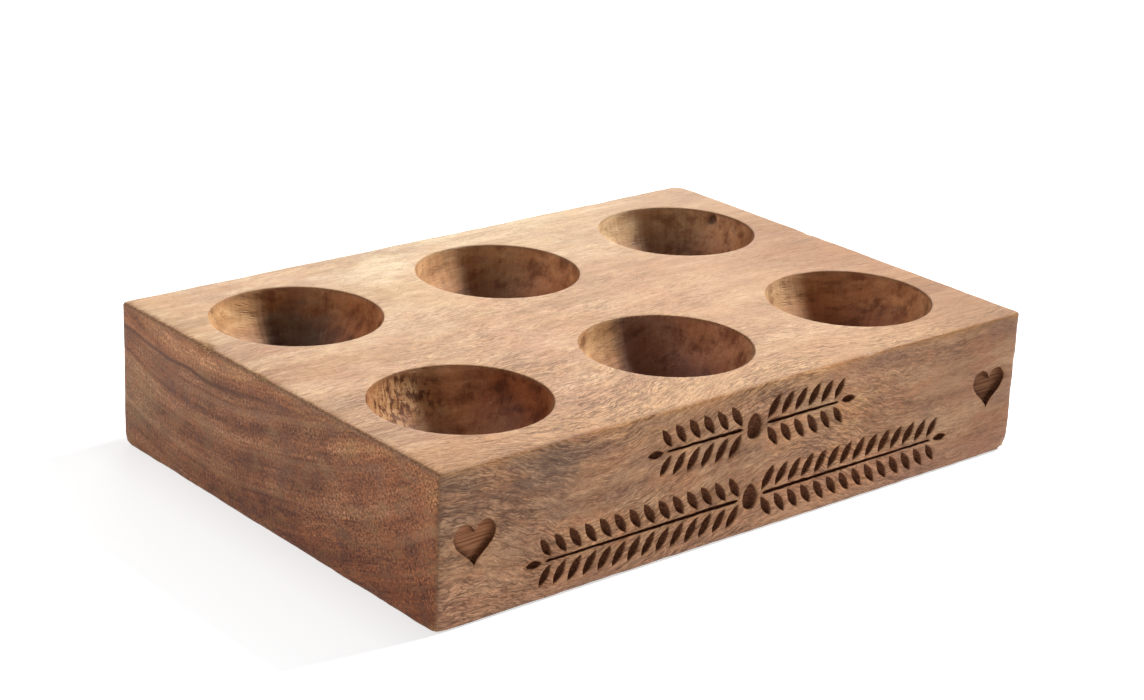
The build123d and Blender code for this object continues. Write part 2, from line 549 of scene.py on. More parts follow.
# edges rubbed back unevenly by the sander
edge_d = np.zeros(len(P))
for axis, (p, q) in {0: (1, 2), 1: (0, 2), 2: (0, 1)}.items():
    half = (HX, HY, None)
    for sp in (-1, 1):
        for sq in (-1, 1):
            cp = sp * (HX if p == 0 else HY)
            cq = sq * HY if q == 1 else (HEIGHT if sq > 0 else 0.0)
            d = np.hypot(P[:, p] - cp, P[:, q] - cq)
            along = P[:, axis]
            seed = np.stack([along, np.full(len(P), 31.0 * sp + 7 * axis), np.full(len(P), 13.0 * sq)], 1)
            amount = 0.16 + 0.17 * noise(seed / 17 + 5) + 0.10 * noise(seed / 5.1 + 2) + 0.05 * noise(seed / 1.9)
            edge_d = np.maximum(edge_d, np.clip(amount, 0, 0.55) * np.exp(-((d / 1.7) ** 2)))


def dent(centre, radius, deep, squash=(1, 1, 1), rough=0.5, seed=0.0):
    q = (P - np.array(centre)) / np.array(squash)
    r = np.linalg.norm(q, axis=1) / radius
    r = r + rough * 0.35 * noise(P / (radius * 0.55) + seed)
    return deep * np.exp(-np.clip(r, 0, None) ** 3)


chips = np.zeros(len(P))
for c, rad, deep, sq, rough, sd in (
    ((-HX, 29.0, HEIGHT), 1.7, 1.15, (1, 1.25, 0.9), 1.0, 1.0),   # chipped end edge
    ((-HX, 27.0, HEIGHT), 1.1, 0.8, (1.3, 1, 0.8), 1.0, 4.0),
    ((-HX, 31.4, HEIGHT), 1.0, 0.6, (1.3, 1, 0.9), 1.0, 6.0),
    ((-HX, 3.0, HEIGHT), 1.1, 0.45, (1, 1.8, 0.8), 1.0, 2.0),
    ((-HX, -18.0, HEIGHT), 0.9, 0.3, (1, 2.2, 0.8), 1.0, 3.0),
    ((-HX, 55.0, HEIGHT), 0.9, 0.3, (1, 2.6, 0.8), 1.0, 7.0),
    ((41.0, -HY, HEIGHT), 1.0, 0.35, (3.0, 1, 0.8), 1.0, 8.0),
    ((HX, 12.0, HEIGHT), 1.1, 0.45, (1, 1.8, 0.8), 1.0, 12.0),
    ((HX, -HY, 0.0), 3.2, 0.9, (1, 1, 1), 0.25, 9.0),              # knocked corner
    ((-HX, HY, 0.0), 2.8, 0.55, (1, 1, 1), 0.25, 10.0),
    ((-HX, -HY, 0.0), 2.4, 0.5, (1, 1, 1), 0.25, 11.0),
    ((HX, HY, HEIGHT), 2.8, 0.6, (1, 1, 1), 0.25, 14.0),
):
    chips = np.maximum(chips, dent(c, rad, deep, sq, rough, sd))
depth = np.where(outer, flat_d + np.maximum(edge_d, chips), flat_d * 0.6)

# the cutter leaves the hollows slightly uneven, and tears the wood where it meets end grain
for b, (cx, cy) in enumerate(BOWLS):
    m = (B["bid"] == b) & (B["region"] == 2)
    q = P[m]
    az = np.arctan2(q[:, 1] - cy, q[:, 0] - cx)
    dep = B["bowl"][m]
    end_grain = np.abs(np.cos(az)) ** 2
    lobes = 0.16 * np.cos(2 * az + b) + 0.09 * np.cos(3 * az + 2.3 * b)
    tear = np.clip(fbm(q / (3.4, 1.15, 1.7) + 5.7 * b, 3) + 0.12, 0, None)
    chatter = 0.035 * np.sin(az * 37 + 6 * noise(q / 9 + b)) * smooth(0.02, 0.12, dep) * (1 - smooth(0.5, 0.9, dep))
    worst = 1.5 if b == 0 else 0.8
    t = worst * 0.34 * tear * end_grain * smooth(0.0, 0.08, dep + 0.03) * (1 - smooth(0.62, 0.95, dep))
    if b == 0:  # the worst torn patch, where the cutter lifted the fibres
        near = np.exp(-((np.linalg.norm((q - (-71.5, -16.0, 34.0)) / (12.0, 8.0, 8.0), axis=1)) ** 3))
        t = t + near * 0.75 * np.clip(fbm(q / (1.5, 1.2, 3.0) + 21.0, 3) + 0.15, 0, None)
    coarse = 0.10 * fbm(q / 5.5 + 3.3 * b, 2) + 0.16 * np.clip(fbm(q / (1.9, 1.5, 2.8) + 8.1 * b, 3), 0, None)
    depth[m] = (0.10 * smooth(0.0, 0.1, dep) * lobes + t + chatter + coarse * smooth(0, 0.15, dep)) + 0.04

# a pin knot in the back right hollow, and one in the back middle one
for c, rad, deep in (((88.9, 43.2, HEIGHT - 2.2), 1.4, 1.4), ((0 + 12.5, 35.5 + 11.2, HEIGHT - 15.6), 1.2, 0.8)):
    depth += np.where(inner_bowl, dent(c, rad, deep, (1, 1, 1), 0.3, 2.0), 0)

# carved floors and walls show the bit's small steps
cutm = B["region"] >= 3
depth[cutm] = 0.035 * noise(P[cutm] / 0.9) + 0.03 * noise(P[cutm] / (3.0, 1, 0.5) + 4)
depth[cutm & (B["cut"] < 0.4)] = (flat_d + edge_d)[cutm & (B["cut"] < 0.4)]

Q = P - N * depth[:, None]
rim = cutm & (B["cut"] < 0.4)
Q[rim] = P[rim] + np.array([0, 1.0, 0]) * np.maximum(flat_d + edge_d, 0)[rim, None]
# the carved outlines waver a little, as the bit tears the fibres
rim_fade = smooth(0.0, 3.0, np.minimum(np.minimum(HX - np.abs(x), z), HEIGHT - z)) * (y < -HY + 2.2) * (B["region"] != 2)
for ax, off in ((0, 4.4), (2, 17.3)):
    Q[:, ax] += rim_fade * (0.13 * noise(P / (0.85, 40.0, 0.85) + off) + 0.10 * noise(P / (2.3, 40.0, 2.3) + off + 3))
Q[:, 0] = np.clip(Q[:, 0], -HX, HX)
Q[:, 1] = np.clip(Q[:, 1], -HY, HY)
Q[:, 2] = np.clip(Q[:, 2], 0, HEIGHT)

# ---------------------------------------------------------------- mesh object
me = bpy.data.meshes.new("egg_tray_wood")
me.from_pydata((Q * 0.001).tolist(), [], polys)
me.validate()
tray = bpy.data.objects.new("egg_tray_wood", me)
bpy.context.scene.collection.objects.link(tray)

import bmesh

bm = bmesh.new()
bm.from_mesh(me)
bmesh.ops.recalc_face_normals(bm, faces=bm.faces)
vol = bm.calc_volume(signed=True)
if vol < 0:
    bmesh.ops.reverse_faces(bm, faces=bm.faces)
open_edges = sum(1 for e in bm.edges if not e.is_manifold)
bm.to_mesh(me)
bm.free()
print("tray verts", len(me.vertices), "faces", len(me.polygons), "tris", sum(len(p.vertices) - 2 for p in me.polygons),
      "open edges", open_edges, "volume mm3", round(abs(vol) * 1e9))

# marks for the material
endg = np.abs(N[:, 0]) ** 1.6
endg[cutm] = 0
wear = np.clip(edge_d / 0.35, 0, 1)
wear[B["region"] == 2] = 0
for name, val in (
    ("endg", endg), ("cut", B["cut"]), ("floor", B["floor"]), ("bowl", np.where(inner_bowl, B["bowl"], 0)),
    ("hollow", np.where(inner_bowl, smooth(0.0, 0.035, B["bowl"]), 0)), ("wear", wear), ("chip", np.clip(chips / 0.6, 0, 1)),
):
    at = me.attributes.new(name, "FLOAT", "POINT")
    at.data.foreach_set("value", np.asarray(val, np.float32))
me.polygons.foreach_set("use_smooth", [True] * len(me.polygons))
me.set_sharp_from_angle(angle=math.radians(34))
me.update()

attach(tray, "root")
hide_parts("egg_tray_block")

# ---------------------------------------------------------------- material
class Tree:
    """Short names for the shader nodes used below."""

    def __init__(self, tree):
        self.t, self.n, self.l = tree, tree.nodes, tree.links
        tree.nodes.clear()

    def put(self, sock, val):
        if isinstance(val, bpy.types.NodeSocket):
            self.l.new(val, sock)
        elif val is not None:
            if hasattr(sock.default_value, "__len__") and not hasattr(val, "__len__"):
                val = [val] * len(sock.default_value)
            if hasattr(val, "__len__") and len(sock.default_value) == 4 and len(val) == 3:
                val = (*val, 1.0)
            sock.default_value = val

    def math(self, op, a, b=None, c=None, clamp=False):
        n = self.n.new("ShaderNodeMath")
        n.operation, n.use_clamp = op, clamp
        for i, v in enumerate((a, b, c)):
            if v is not None:
                self.put(n.inputs[i], v)
        return n.outputs[0]

    def vec(self, op, a, b=None, scale=None):
        n = self.n.new("ShaderNodeVectorMath")
        n.operation = op
        self.put(n.inputs[0], a)
        if b is not None:
            self.put(n.inputs[1], b)
        if scale is not None:
            self.put(n.inputs["Scale"], scale)
        return n.outputs["Value"] if op in ("LENGTH", "DOT_PRODUCT", "DISTANCE") else n.outputs[0]

    def sep(self, v):
        n = self.n.new("ShaderNodeSeparateXYZ")
        self.put(n.inputs[0], v)
        return n.outputs

    def comb(self, x, y, z):
        n = self.n.new("ShaderNodeCombineXYZ")
        for i, v in enumerate((x, y, z)):
            self.put(n.inputs[i], v)
        return n.outputs[0]

    def noise(self, v, detail=2.0, rough=0.5, distort=0.0, colour=False):
        n = self.n.new("ShaderNodeTexNoise")
        n.inputs["Scale"].default_value = 1.0
        n.inputs["Detail"].default_value = detail
        n.inputs["Roughness"].default_value = rough
        n.inputs["Distortion"].default_value = distort
        self.put(n.inputs["Vector"], v)
        return n.outputs["Color" if colour else "Fac"]

    def cells(self, v, jitter=1.0):
        n = self.n.new("ShaderNodeTexVoronoi")
        n.inputs["Scale"].default_value = 1.0
        n.inputs["Randomness"].default_value = jitter
        self.put(n.inputs["Vector"], v)
        return n.outputs["Distance"], n.outputs["Color"]

    def step(self, v, a, b, lo=0.0, hi=1.0):
        n = self.n.new("ShaderNodeMapRange")
        n.interpolation_type = "SMOOTHSTEP"
        self.put(n.inputs["Value"], v)
        for k, x in (("From Min", a), ("From Max", b), ("To Min", lo), ("To Max", hi)):
            self.put(n.inputs[k], x)
        return n.outputs["Result"]

    def lin(self, v, a, b, lo=0.0, hi=1.0):
        n = self.n.new("ShaderNodeMapRange")
        self.put(n.inputs["Value"], v)
        for k, x in (("From Min", a), ("From Max", b), ("To Min", lo), ("To Max", hi)):
            self.put(n.inputs[k], x)
        return n.outputs["Result"]

    def mix(self, fac, a, b, blend="MIX"):
        n = self.n.new("ShaderNodeMix")
        n.data_type, n.blend_type = "RGBA", blend
        self.put(n.inputs[0], fac)
        self.put(n.inputs[6], a)
        self.put(n.inputs[7], b)
        return n.outputs[2]

    def ramp(self, fac, stops):
        n = self.n.new("ShaderNodeValToRGB")
        self.put(n.inputs[0], fac)
        cr = n.color_ramp
        while len(cr.elements) < len(stops):
            cr.elements.new(0.5)
        for e, (p, c) in zip(cr.elements, stops):
            e.position, e.color = p, (*c, 1.0)
        return n.outputs[0]

    def attr(self, name):
        n = self.n.new("ShaderNodeAttribute")
        n.attribute_type, n.attribute_name = "GEOMETRY", name
        return n.outputs["Fac"]


def wood_material():
    m = bpy.data.materials.new("oiled_hardwood")
    m.use_nodes = True
    T = Tree(m.node_tree)
    out = T.n.new("ShaderNodeOutputMaterial")
    bsdf = T.n.new("ShaderNodeBsdfPrincipled")
    T.l.new(bsdf.outputs[0], out.inputs["Surface"])
    tc = T.n.new("ShaderNodeTexCoord")
    P = T.vec("SCALE", tc.outputs["Object"], scale=1000.0)
    endg, cut, floor_, bowl, hollow, wear, chip = [
        T.attr(k) for k in ("endg", "cut", "floor", "bowl", "hollow", "wear", "chip")
    ]
    px, py, pz = T.sep(P)
    half = (0.5, 0.5, 0.5)

    def stretch(v, a, b, c):
        return T.vec("MULTIPLY", v, (1 / a, 1 / b, 1 / c))

    def blob(centre, radii, soft=0.5, wobble=None):
        """1 inside a soft ellipsoid, 0 outside."""
        v = stretch(T.vec("SUBTRACT", P, centre), *radii)
        r = T.vec("LENGTH", v)
        if wobble is not None:
            r = T.math("ADD", r, T.math("MULTIPLY", T.math("SUBTRACT", wobble, 0.5), 1.6))
        return T.step(r, soft, 1.0, 1.0, 0.0)

    # the way the fibres run: along X, sweeping up and back over part of the length
    big = T.vec("SUBTRACT", T.noise(stretch(P, 85, 60, 52), 1.0, 0.4, colour=True), half)
    mid = T.vec("SUBTRACT", T.noise(stretch(P, 26, 12, 12), 1.5, 0.5, colour=True), half)
    sweep = T.math("SINE", T.math("MULTIPLY", T.math("ADD", px, 20.0), 2 * math.pi / 150))
    sweep = T.math("MULTIPLY", sweep, T.step(T.math("ABSOLUTE", T.math("ADD", px, 20.0)), 34.0, 80.0, -9.0, -1.2))
    back = T.step(py, -56.0, -8.0, 1.05, 0.25)
    Q = T.vec("ADD", P, T.vec("MULTIPLY", big, (0.0, 15.0, 11.0)))
    Q = T.vec("ADD", Q, T.vec("MULTIPLY", mid, (0.0, 3.4, 2.8)))
    Q = T.vec("ADD", Q, T.comb(0.0, T.math("MULTIPLY", sweep, back), sweep))

    # fine fibres lie in the surface they are seen on
    face = T.step(py, -69.6, -68.6, 1.0, 0.0)
    upright = T.math("MAXIMUM", face, T.step(py, 68.6, 69.6))
    small = T.vec("SUBTRACT", T.noise(stretch(P, 6.5, 4.5, 4.5), 1.5, 0.5, colour=True), half)
    off = T.vec("ADD", T.vec("SUBTRACT", Q, P), T.vec("MULTIPLY", small, (0.0, 3.0, 3.0)))
    ox, oy, oz = T.sep(off)
    F = T.vec("ADD", P, T.comb(0.0, T.math("MULTIPLY", oy, T.math("SUBTRACT", 1.0, T.math("MULTIPLY", upright, 0.9))), T.math("MULTIPLY", oz, T.math("ADD", T.math("MULTIPLY", upright, 0.9), 0.1))))
    near_c = T.vec("LENGTH", T.comb(T.math("MULTIPLY", T.math("ADD", px, 55.0), 1 / 150), T.math("MULTIPLY", T.math("ADD", py, 70.0), 1 / 120), 0.0))

    broad = T.noise(stretch(Q, 95, 17, 14), 2.5, 0.5)
    band = T.noise(stretch(Q, 60, 3.2, 3.2), 3.0, 0.55)
    fib_c = T.noise(stretch(F, 8.5, 0.95, 0.95), 3.0, 0.6, colour=True)
    fr, fg, fb = T.sep(fib_c)
    hair = T.noise(stretch(F, 3.2, 0.42, 0.42), 2.5, 0.65)
    fur = T.math("ADD", T.math("MULTIPLY", fr, 0.38), T.math("MULTIPLY", hair, 0.62))
    grit = T.noise(stretch(P, 0.9, 0.42, 0.42), 1.5, 0.6)
    # thin dark and light hairs where torn fibres lie on the surface
    h1 = T.noise(stretch(F, 4.6, 0.66, 0.66), 1.0, 0.4)
    h2 = T.noise(T.vec("ADD", stretch(F, 4.0, 0.60, 0.60), (7.1, 3.3, 5.9)), 1.0, 0.4)
    nap = T.noise(stretch(P, 30, 13, 12), 2.0, 0.55)
    fine = T.math("MULTIPLY", T.step(near_c, 0.25, 1.10, 1.0, 0.36), T.step(nap, 0.36, 0.62, 0.62, 1.1))
    fine = T.math("MULTIPLY", fine, T.math("SUBTRACT", 1.0, T.math("MULTIPLY", hollow, 0.68)))
    fine = T.math("MULTIPLY", fine, T.math("ADD", T.math("MULTIPLY", T.math("MAXIMUM", upright, T.step(py, -66.0, -48.0, 1.0, 0.0)), 0.32), 0.68))
    dark_hair = T.math("MULTIPLY", T.step(T.math("ABSOLUTE", T.math("SUBTRACT", h1, 0.5)), 0.008, 0.070, 1.0, 0.0), T.step(nap, 0.38, 0.60, 0.35, 1.0))
    pale_hair = T.math("MULTIPLY", T.step(T.math("ABSOLUTE", T.math("SUBTRACT", h2, 0.5)), 0.008, 0.060, 1.0, 0.0), T.step(nap, 0.40, 0.62, 1.0, 0.45))
    blr, blg, blb = T.sep(T.noise(stretch(P, 40, 26, 20), 2.5, 0.5, colour=True))
    wob = T.noise(stretch(P, 9, 6, 5), 2.5, 0.6)

    # growth rings: arcs about a heart that lay above the block
    R3 = T.vec("ADD", P, T.vec("MULTIPLY", big, (0.0, 8.0, 6.0)))
    R3 = T.vec("ADD", R3, T.vec("MULTIPLY", mid, (0.0, 0.9, 0.8)))
    qx, qy, qz = T.sep(R3)
    ry, rz = T.math("SUBTRACT", qy, 28.0), T.math("SUBTRACT", qz, 205.0)
    rad = T.math("SQRT", T.math("ADD", T.math("MULTIPLY", ry, ry), T.math("MULTIPLY", rz, rz)))
    # the heart is above the block, so the angle is taken from straight down and never jumps
    round_ = T.math("SUBTRACT", -math.pi, T.math("ARCTAN2", ry, T.math("MULTIPLY", rz, -1.0)))
    ring_w = T.noise(T.comb(T.math("MULTIPLY", rad, 1 / 3.6), T.math("MULTIPLY", px, 1 / 170), T.math("MULTIPLY", round_, 2.2)), 2.0, 0.55)
    ring_f = T.noise(T.comb(T.math("MULTIPLY", rad, 1 / 0.62), T.math("MULTIPLY", px, 1 / 70), T.math("MULTIPLY", round_, 14.0)), 2.0, 0.6)

    # vessels: thin tubes along the fibres, dots where they are cut across
    def tubes(scale, size, chance, seed):
        v = T.vec("ADD", stretch(Q, *scale), (seed, seed * 0.7, seed * 1.3))
        d, c = T.cells(v)
        here = T.step(T.sep(c)[0], chance, chance + 0.06, 1.0, 0.0)
        return T.math("MULTIPLY", T.step(d, size * 0.35, size, 1.0, 0.0), here)

    pore_a = tubes((4.6, 0.62, 0.62), 0.34, 0.50, 3.0)
    pore_b = tubes((9.0, 0.44, 0.44), 0.34, 0.5, 11.0)
    patch = T.step(T.noise(stretch(Q, 34, 11, 11), 2.0, 0.5), 0.36, 0.64, 0.30, 1.0)
    pores = T.math("MAXIMUM", T.math("MULTIPLY", pore_a, patch), T.math("MULTIPLY", pore_b, 0.6))

    # long grain colour
    tone = T.math("ADD", T.math("MULTIPLY", broad, 0.42), T.math("ADD", T.math("MULTIPLY", band, 0.30), T.math("MULTIPLY", ring_w, 0.28)))
    col = T.ramp(tone, [(0.40, LONG[0]), (0.47, LONG[1]), (0.53, LONG[2]), (0.60, LONG[3])])
    col = T.mix(T.step(blr, 0.48, 0.68, 0.0, 0.55), col, PINK)
    col = T.mix(T.step(blg, 0.50, 0.70, 0.0, 0.45), col, GOLD)
    col = T.mix(T.step(blb, 0.56, 0.74, 0.0, 0.45), col, GREY)
    col = T.mix(T.math("MULTIPLY", T.step(fg, 0.50, 0.66), 0.30), col, REDDER)
    col = T.mix(T.math("MULTIPLY", T.step(ring_f, 0.56, 0.70), 0.16), col, (0.250, 0.120, 0.060))
    # a golden strip along the top's front edge
    strip = T.math("MULTIPLY", T.step(T.math("ADD", py, T.math("MULTIPLY", T.math("SUBTRACT", wob, 0.5), 16.0)), -61.0, -50.0, 1.0, 0.0), T.step(pz, 36.0, 40.4))
    col = T.mix(T.math("MULTIPLY", strip, 0.55), col, GOLD)
    # a grey mineral stain and a knot shadow on the front, a brown smudge on the top
    stain = T.math("MAXIMUM", blob((-67.0, -70.0, 36.0), (18.0, 13.0, 10.0), 0.25, wob), T.math("MULTIPLY", blob((-96.0, -70.0, 30.0), (15.0, 10.0, 17.0), 0.1, wob), 0.65))
    stain = T.math("MULTIPLY", stain, face)
    col = T.mix(T.math("MULTIPLY", stain, 0.70), col, (0.165, 0.112, 0.080))
    col = T.mix(T.math("MULTIPLY", blob((-62.0, -70.0, 37.5), (11.0, 9.0, 6.0), 0.1, wob), 0.60), col, (0.150, 0.080, 0.048))
    col = T.mix(T.math("MULTIPLY", blob((90.0, -70.0, 8.0), (13.0, 10.0, 8.5), 0.2, wob), 0.55), col, (0.330, 0.140, 0.062))
    col = T.mix(T.math("MULTIPLY", blob((10.0, 5.0, 40.8), (7.5, 3.6, 6.0), 0.1, wob), 0.38), col, (0.300, 0.160, 0.085))
    col = T.mix(T.math("MULTIPLY", blob((66.0, -70.0, 15.5), (11.0, 8.0, 3.6), 0.1, wob), 0.40), col, (0.230, 0.150, 0.105))
    streak = T.sep(T.noise(stretch(Q, 34, 2.6, 2.6), 2.0, 0.5, colour=True))
    col = T.mix(T.math("MULTIPLY", T.step(streak[0], 0.54, 0.66), 0.22), col, (0.270, 0.125, 0.060))
    col = T.mix(T.math("MULTIPLY", T.step(streak[1], 0.54, 0.66), 0.28), col, (0.620, 0.425, 0.250))
    hue = T.sep(T.noise(stretch(P, 19, 14, 7.5), 2.5, 0.55, colour=True))
    col = T.mix(T.math("MULTIPLY", T.step(hue[0], 0.51, 0.64), T.math("ADD", T.math("MULTIPLY", face, 0.16), 0.34)), col, (0.440, 0.205, 0.090))
    col = T.mix(T.math("MULTIPLY", T.math("MULTIPLY", T.step(hue[1], 0.52, 0.64), T.math("ADD", T.math("MULTIPLY", face, 0.28), 0.16)), 1.0), col, (0.225, 0.122, 0.080))
    col = T.mix(T.math("MULTIPLY", T.math("MULTIPLY", face, T.step(T.math("ADD", pz, T.math("MULTIPLY", wob, 10.0)), 9.0, 19.0, 1.0, 0.0)), 0.38), col, (0.450, 0.225, 0.130))
    col = T.mix(T.math("MULTIPLY", blob((54.0, -70.0, 27.0), (9.0, 8.0, 4.5), 0.1, wob), 0.45), col, (0.430, 0.190, 0.085))
    col = T.mix(T.math("MULTIPLY", blob((50.0, -70.0, 37.5), (16.0, 8.0, 3.6), 0.1, wob), 0.45), col, (0.215, 0.110, 0.066))
    col = T.mix(T.math("MULTIPLY", T.math("SUBTRACT", 1.0, face), T.step(px, -70.0, 60.0, 0.12, 0.40)), col, (0.445, 0.266, 0.145))
    furc = T.vec("MULTIPLY", col, T.ramp(fur, [(0.41, (0.48, 0.42, 0.37)), (0.5, (1.0, 1.0, 1.0)), (0.59, (1.34, 1.37, 1.38))]))
    col = T.mix(fine, col, furc)
    col = T.mix(T.math("MULTIPLY", T.math("MULTIPLY", pale_hair, fine), 0.48), col, (0.700, 0.480, 0.285))
    col = T.mix(T.math("MULTIPLY", T.math("MULTIPLY", dark_hair, fine), 0.68), col, (0.140, 0.060, 0.027))
    gritc = T.vec("MULTIPLY", col, T.ramp(grit, [(0.36, (0.84, 0.83, 0.82)), (0.64, (1.16, 1.17, 1.18))]))
    col = T.mix(fine, col, gritc)
    col = T.mix(T.math("MULTIPLY", pores, 0.42), col, (0.120, 0.055, 0.028))
    # tone over the whole block: redder front face, a paler back of the top that is painted sheen, browner right
    col = T.mix(face, col, T.vec("MULTIPLY", col, FACE_TONE))
    # painted sheen: the back of the top is paled and made less warm, as if glancing light from behind lay on it
    painted_back_sheen = T.math("MULTIPLY", T.step(T.math("ADD", py, T.math("MULTIPLY", px, -0.08)), 5.0, 66.0), T.math("MULTIPLY", T.step(pz, 36.0, 40.0), T.math("SUBTRACT", 1.0, hollow)))
    painted_back_sheen = T.math("MULTIPLY", painted_back_sheen, T.step(px, -95.0, -10.0, 0.45, 1.0))
    col = T.mix(painted_back_sheen, col, T.vec("MULTIPLY", col, (1.24, 1.50, 1.70)))
    near = T.math("ADD", T.step(px, 35.0, 100.0), T.math("MULTIPLY", T.step(py, -64.0, -40.0, 0.8, 0.0), T.step(px, -100.0, 30.0, 1.0, 0.3)))
    near = T.math("ADD", near, T.math("MULTIPLY", blob((-82.0, 0.0, 40.8), (24.0, 15.0, 12.0), 0.1, wob), 0.7))
    near = T.math("ADD", near, T.math("MULTIPLY", blob((-96.0, -68.0, 40.8), (26.0, 15.0, 12.0), 0.1, wob), 0.9))
    near = T.math("MULTIPLY", T.math("MINIMUM", near, 1.0), T.math("SUBTRACT", 1.0, face))
    col = T.mix(near, col, T.vec("MULTIPLY", col, (0.84, 0.75, 0.69)))
    col = T.mix(T.math("MULTIPLY", face, T.step(px, 55.0, 92.0)), col, T.vec("MULTIPLY", col, (0.86, 0.84, 0.82)))

    mid_r = T.math("MULTIPLY", face, T.step(T.math("ABSOLUTE", T.math("SUBTRACT", px, 30.0)), 8.0, 26.0, 1.0, 0.0))
    col = T.mix(mid_r, col, T.vec("MULTIPLY", col, (1.11, 1.12, 1.08)))
    col = T.mix(T.math("MULTIPLY", face, blob((-78.0, -70.0, 29.0), (24.0, 10.0, 13.0), 0.2, wob)), col, T.vec("MULTIPLY", col, (0.90, 0.87, 0.85)))
    corner = T.math("MULTIPLY", T.math("MULTIPLY", T.step(px, 55.0, 92.0), T.step(py, -68.0, -36.0, 1.0, 0.3)), T.math("SUBTRACT", 1.0, face))
    col = T.mix(corner, col, T.vec("MULTIPLY", col, (0.80, 0.80, 0.80)))
    front_r = T.math("MULTIPLY", T.step(py, -69.9, -69.1, 1.0, 0.0), T.step(px, 98.6, 99.7))

    # end grain drinks more oil: darker and redder, tubes as dots, rays between the rings
    ray = T.noise(T.comb(T.math("MULTIPLY", round_, 260.0), T.math("MULTIPLY", rad, 1 / 2.4), T.math("MULTIPLY", px, 0.3)), 2.0, 0.6)
    etone = T.math("ADD", T.math("MULTIPLY", broad, 0.45), T.math("MULTIPLY", ring_w, 0.55))
    ecol = T.ramp(etone, [(0.40, END[0]), (0.47, END[1]), (0.53, END[2]), (0.60, END[3])])
    red_end = T.step(T.math("SUBTRACT", T.math("MULTIPLY", pz, -0.9), py), -12.0, 62.0)
    ecol = T.mix(T.math("MULTIPLY", T.math("MULTIPLY", red_end, T.step(wob, 0.35, 0.65, 0.5, 1.0)), 0.55), ecol, END_RED)
    ecol = T.mix(T.math("MULTIPLY", blob((-100.0, 62.0, 15.0), (20.0, 18.0, 17.0), 0.1, wob), 0.55), ecol, END_OLIVE)
    ecol = T.mix(T.step(blb, 0.50, 0.70, 0.0, 0.35), ecol, END_OLIVE)
    ecol = T.mix(1.0, ecol, T.ramp(ring_f, [(0.40, (0.82, 0.79, 0.76)), (0.5, (1, 1, 1)), (0.60, (1.12, 1.13, 1.14))]), "MULTIPLY")
    ecol = T.mix(1.0, ecol, T.ramp(ray, [(0.40, (0.86, 0.84, 0.82)), (0.5, (1, 1, 1)), (0.60, (1.12, 1.13, 1.14))]), "MULTIPLY")
    front_end = T.math("MULTIPLY", T.step(py, 55.0, -45.0, 0.55, 1.0), T.step(px, 60.0, 98.0, 1.0, 0.42))
    dots = T.vec("MULTIPLY", ecol, T.ramp(grit, [(0.38, (0.66, 0.61, 0.56)), (0.5, (1, 1, 1)), (0.62, (1.34, 1.36, 1.38))]))
    ecol = T.mix(front_end, ecol, dots)
    speck = T.noise(T.comb(T.math("MULTIPLY", rad, 1 / 0.72), T.math("MULTIPLY", px, 1 / 2), T.math("MULTIPLY", round_, 235.0)), 2.0, 0.65)
    dots = T.vec("MULTIPLY", ecol, T.ramp(speck, [(0.39, (0.44, 0.38, 0.34)), (0.5, (1, 1, 1)), (0.61, (1.46, 1.50, 1.52))]))
    ecol = T.mix(front_end, ecol, dots)
    # growth lines: a few darker, a few paler, all bowed the same way
    gl = T.noise(T.comb(T.math("MULTIPLY", rad, 1 / 2.1), T.math("MULTIPLY", px, 1 / 150), T.math("MULTIPLY", round_, 1.1)), 1.0, 0.5)
    arc = T.step(T.math("ABSOLUTE", T.math("SUBTRACT", gl, 0.5)), 0.0, 0.05, 1.0, 0.0)
    ecol = T.mix(T.math("MULTIPLY", T.math("MULTIPLY", arc, T.step(blr, 0.40, 0.60)), 0.50), ecol, (0.105, 0.040, 0.020))
    ecol = T.mix(T.math("MULTIPLY", T.step(gl, 0.58, 0.70), 0.35), ecol, (0.330, 0.185, 0.095))
    patchy = T.sep(T.noise(stretch(P, 12, 11, 6.0), 2.5, 0.6, colour=True))
    ecol = T.mix(T.math("MULTIPLY", T.step(patchy[0], 0.50, 0.64), T.math("ADD", T.math("MULTIPLY", red_end, 0.25), 0.12)), ecol, END_RED)
    ecol = T.mix(T.math("MULTIPLY", T.step(patchy[1], 0.52, 0.66), 0.40), ecol, END_OLIVE)
    ecol = T.mix(T.math("MULTIPLY", T.step(patchy[2], 0.52, 0.66), 0.45), ecol, (0.150, 0.070, 0.046))
    ecol = T.mix(T.math("MULTIPLY", pores, 0.45), ecol, (0.060, 0.024, 0.012))
    # painted shade: the end grain darkens towards the floor, more at the front
    low = T.step(T.math("ADD", pz, T.math("MULTIPLY", py, 0.12)), -8.0, 26.0, 1.0, 0.0)
    ecol = T.mix(low, ecol, T.vec("MULTIPLY", ecol, (0.68, 0.49, 0.35)))
    above = T.math("MULTIPLY", T.step(px, -97.0, -70.0, 1.0, 0.0), T.step(pz, 29.0, 37.0))
    ecol = T.mix(above, ecol, T.vec("MULTIPLY", ecol, (1.30, 1.31, 1.21)))
    ecol = T.vec("MULTIPLY", ecol, (0.96, 0.94, 0.93))
    ecol = T.mix(T.step(px, 60.0, 98.0), ecol, T.vec("MULTIPLY", ecol, (0.76, 0.90, 1.06)))
    ecol = T.mix(T.math("MULTIPLY", T.step(T.sep(T.noise(stretch(P, 3.0, 3.6, 2.2), 2.0, 0.6, colour=True))[0], 0.50, 0.66), T.step(px, 60.0, 98.0, 0.35, 0.15)), ecol, END_RED)
    ecol = T.mix(T.math("MULTIPLY", pores, 0.45), ecol, (0.060, 0.024, 0.012))

